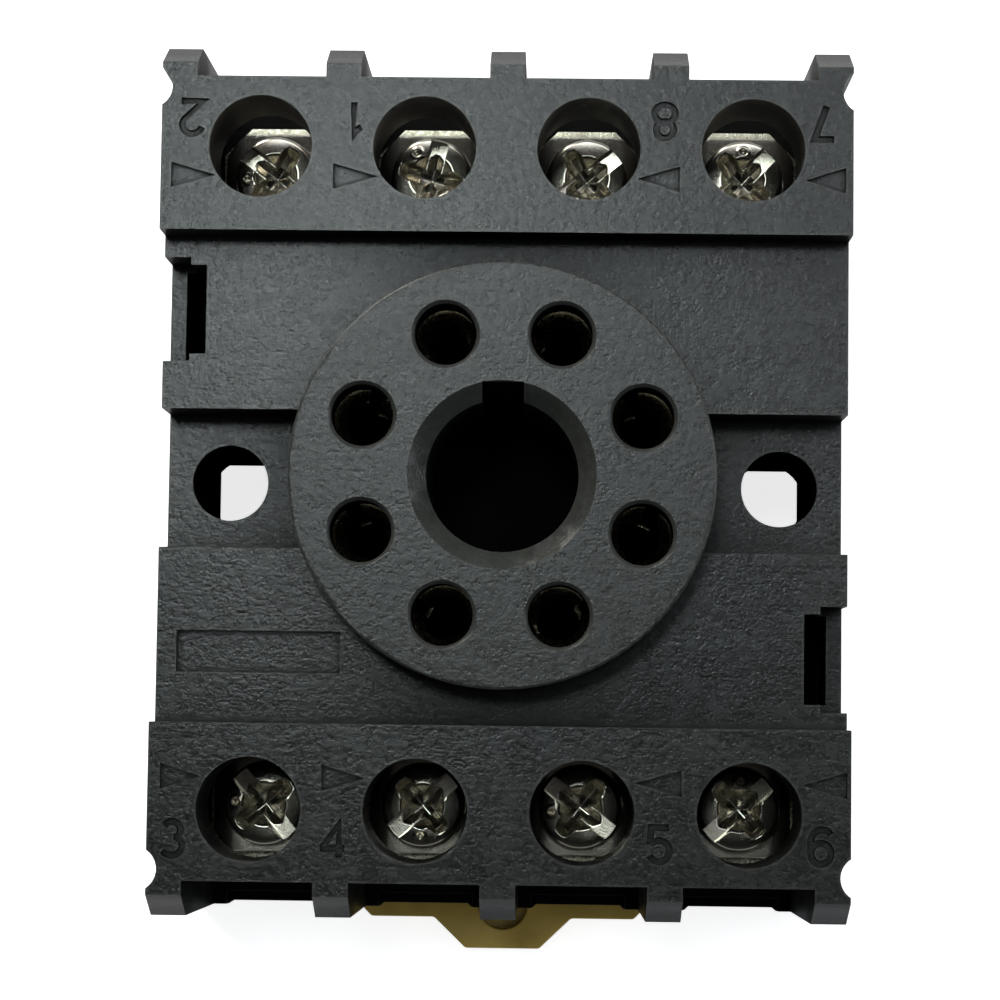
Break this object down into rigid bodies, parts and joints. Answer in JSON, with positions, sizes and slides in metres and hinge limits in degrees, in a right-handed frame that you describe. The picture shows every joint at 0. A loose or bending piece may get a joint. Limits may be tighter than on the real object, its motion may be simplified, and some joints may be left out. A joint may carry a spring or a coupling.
{
  "type": "octal relay socket",
  "caption": "Black moulded plug-in relay socket with a round pin disc, screw terminals behind round driver holes at both ends, panel holes and a sprung rail latch.",
  "frame": {"origin": "centre of the rear face, on the axis of the relay's key post", "axes": "+Z from the rear face to the relay side, +Y to the end whose row holds terminals 2, 1, 8 and 7 (the key slot's side), +X to the right seen from the front"},
  "size_m": [0.0404, 0.0545, 0.0245],
  "materials": {
    "housing_moulding": "black moulded thermoset, satin with a fine dusty bloom",
    "base_moulding": "black moulded plastic, satin",
    "latch_moulding": "olive-tan moulded plastic, satin",
    "contact_strip": "brass strip, nickel plated",
    "clamp_washer": "pressed steel, nickel plated",
    "terminal_screw": "cold-headed steel, nickel plated"
  },
  "bodies": {
    "socket": {"housing": "housing_moulding", "base": "base_moulding", "contact_1": "contact_strip", "contact_2": "contact_strip", "contact_3": "contact_strip", "contact_4": "contact_strip", "contact_5": "contact_strip", "contact_6": "contact_strip", "contact_7": "contact_strip", "contact_8": "contact_strip"},
    "latch": {"rail_latch": "latch_moulding"},
    "clamp_1": {"clamp_washer_1": "clamp_washer"},
    "screw_1": {"terminal_screw_1": "terminal_screw"},
    "clamp_2": {"clamp_washer_2": "clamp_washer"},
    "screw_2": {"terminal_screw_2": "terminal_screw"},
    "clamp_3": {"clamp_washer_3": "clamp_washer"},
    "screw_3": {"terminal_screw_3": "terminal_screw"},
    "clamp_4": {"clamp_washer_4": "clamp_washer"},
    "screw_4": {"terminal_screw_4": "terminal_screw"},
    "clamp_5": {"clamp_washer_5": "clamp_washer"},
    "screw_5": {"terminal_screw_5": "terminal_screw"},
    "clamp_6": {"clamp_washer_6": "clamp_washer"},
    "screw_6": {"terminal_screw_6": "terminal_screw"},
    "clamp_7": {"clamp_washer_7": "clamp_washer"},
    "screw_7": {"terminal_screw_7": "terminal_screw"},
    "clamp_8": {"clamp_washer_8": "clamp_washer"},
    "screw_8": {"terminal_screw_8": "terminal_screw"}
  },
  "joints": [
    {"name": "latch_slide", "type": "slide", "parent": "socket", "child": "latch", "axis": [0, -1, 0], "range_m": [0, 0.002], "stiffness_N_per_m": 1500, "springref_m": -0.0005},
    {"name": "clamp_1_lift", "type": "slide", "parent": "socket", "child": "clamp_1", "axis": [0, 0, 1], "range_m": [0, 0.0024]},
    {"name": "screw_1_turn", "type": "hinge", "parent": "clamp_1", "child": "screw_1", "pos_m": [-0.0048, 0.0193, 0.01095], "axis": [0, 0, 1], "range_deg": [0, 1440]},
    {"name": "clamp_2_lift", "type": "slide", "parent": "socket", "child": "clamp_2", "axis": [0, 0, 1], "range_m": [0, 0.0024]},
    {"name": "screw_2_turn", "type": "hinge", "parent": "clamp_2", "child": "screw_2", "pos_m": [-0.0144, 0.0193, 0.01095], "axis": [0, 0, 1], "range_deg": [0, 1440]},
    {"name": "clamp_3_lift", "type": "slide", "parent": "socket", "child": "clamp_3", "axis": [0, 0, 1], "range_m": [0, 0.0024]},
    {"name": "screw_3_turn", "type": "hinge", "parent": "clamp_3", "child": "screw_3", "pos_m": [-0.0144, -0.0193, 0.01095], "axis": [0, 0, 1], "range_deg": [0, 1440]},
    {"name": "clamp_4_lift", "type": "slide", "parent": "socket", "child": "clamp_4", "axis": [0, 0, 1], "range_m": [0, 0.0024]},
    {"name": "screw_4_turn", "type": "hinge", "parent": "clamp_4", "child": "screw_4", "pos_m": [-0.0048, -0.0193, 0.01095], "axis": [0, 0, 1], "range_deg": [0, 1440]},
    {"name": "clamp_5_lift", "type": "slide", "parent": "socket", "child": "clamp_5", "axis": [0, 0, 1], "range_m": [0, 0.0024]},
    {"name": "screw_5_turn", "type": "hinge", "parent": "clamp_5", "child": "screw_5", "pos_m": [0.0048, -0.0193, 0.01095], "axis": [0, 0, 1], "range_deg": [0, 1440]},
    {"name": "clamp_6_lift", "type": "slide", "parent": "socket", "child": "clamp_6", "axis": [0, 0, 1], "range_m": [0, 0.0024]},
    {"name": "screw_6_turn", "type": "hinge", "parent": "clamp_6", "child": "screw_6", "pos_m": [0.0144, -0.0193, 0.01095], "axis": [0, 0, 1], "range_deg": [0, 1440]},
    {"name": "clamp_7_lift", "type": "slide", "parent": "socket", "child": "clamp_7", "axis": [0, 0, 1], "range_m": [0, 0.0024]},
    {"name": "screw_7_turn", "type": "hinge", "parent": "clamp_7", "child": "screw_7", "pos_m": [0.0144, 0.0193, 0.01095], "axis": [0, 0, 1], "range_deg": [0, 1440]},
    {"name": "clamp_8_lift", "type": "slide", "parent": "socket", "child": "clamp_8", "axis": [0, 0, 1], "range_m": [0, 0.0024]},
    {"name": "screw_8_turn", "type": "hinge", "parent": "clamp_8", "child": "screw_8", "pos_m": [0.0048, 0.0193, 0.01095], "axis": [0, 0, 1], "range_deg": [0, 1440]}
  ],
  "couplings": [
    {"joint": "screw_1_turn", "follows": "clamp_1_lift", "rad_per_m": 10472},
    {"joint": "screw_2_turn", "follows": "clamp_2_lift", "rad_per_m": 10472},
    {"joint": "screw_3_turn", "follows": "clamp_3_lift", "rad_per_m": 10472},
    {"joint": "screw_4_turn", "follows": "clamp_4_lift", "rad_per_m": 10472},
    {"joint": "screw_5_turn", "follows": "clamp_5_lift", "rad_per_m": 10472},
    {"joint": "screw_6_turn", "follows": "clamp_6_lift", "rad_per_m": 10472},
    {"joint": "screw_7_turn", "follows": "clamp_7_lift", "rad_per_m": 10472},
    {"joint": "screw_8_turn", "follows": "clamp_8_lift", "rad_per_m": 10472}
  ]
}
